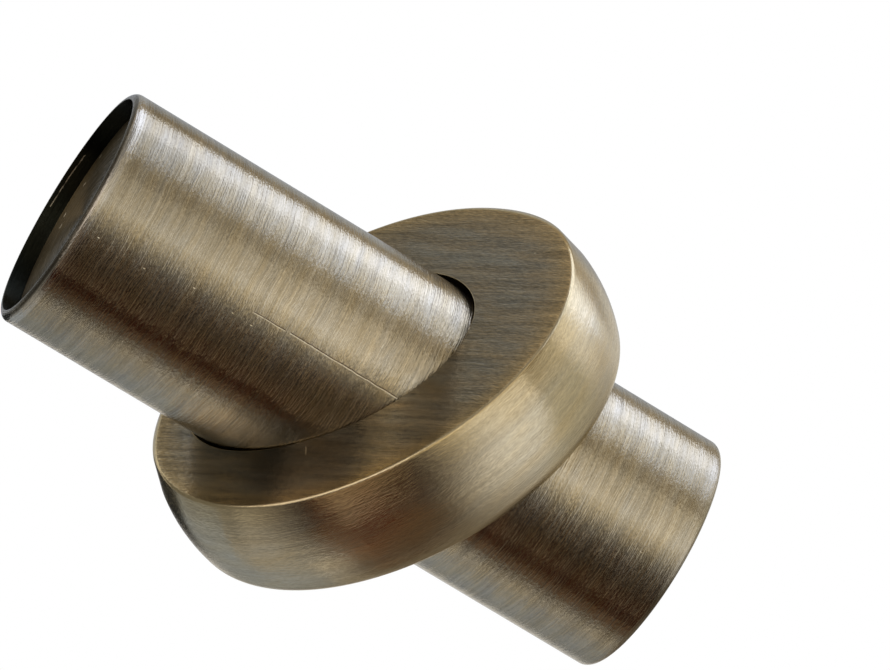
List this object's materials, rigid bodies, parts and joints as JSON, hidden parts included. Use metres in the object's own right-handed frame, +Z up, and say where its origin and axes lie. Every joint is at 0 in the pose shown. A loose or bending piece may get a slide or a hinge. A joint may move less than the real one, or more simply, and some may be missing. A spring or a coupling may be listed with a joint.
{
  "type": "curtain pole finial",
  "caption": "Brushed brass finial for a round curtain pole: a tube closed by a recessed disc, with a thick domed ring set on it at a slant.",
  "frame": {"origin": "centre of the tube's open mouth, where the curtain pole goes in", "axes": "+X along the tube, out of the mouth and back along the pole; +Z up; the ring leans in the XZ plane, its top towards the mouth"},
  "size_m": [0.0747, 0.0522, 0.0484],
  "materials": {
    "tube_brass": "brushed round the tube, antique",
    "disc_brass": "dark antique, satin",
    "ring_brass": "straight brushed faces, rim brushed round, antique",
    "screw_steel": "blackened"
  },
  "bodies": {
    "root": {"sleeve_tube": "tube_brass", "end_disc": "disc_brass", "slanted_ring": "ring_brass", "grub_screw": "screw_steel"}
  },
  "joints": []
}
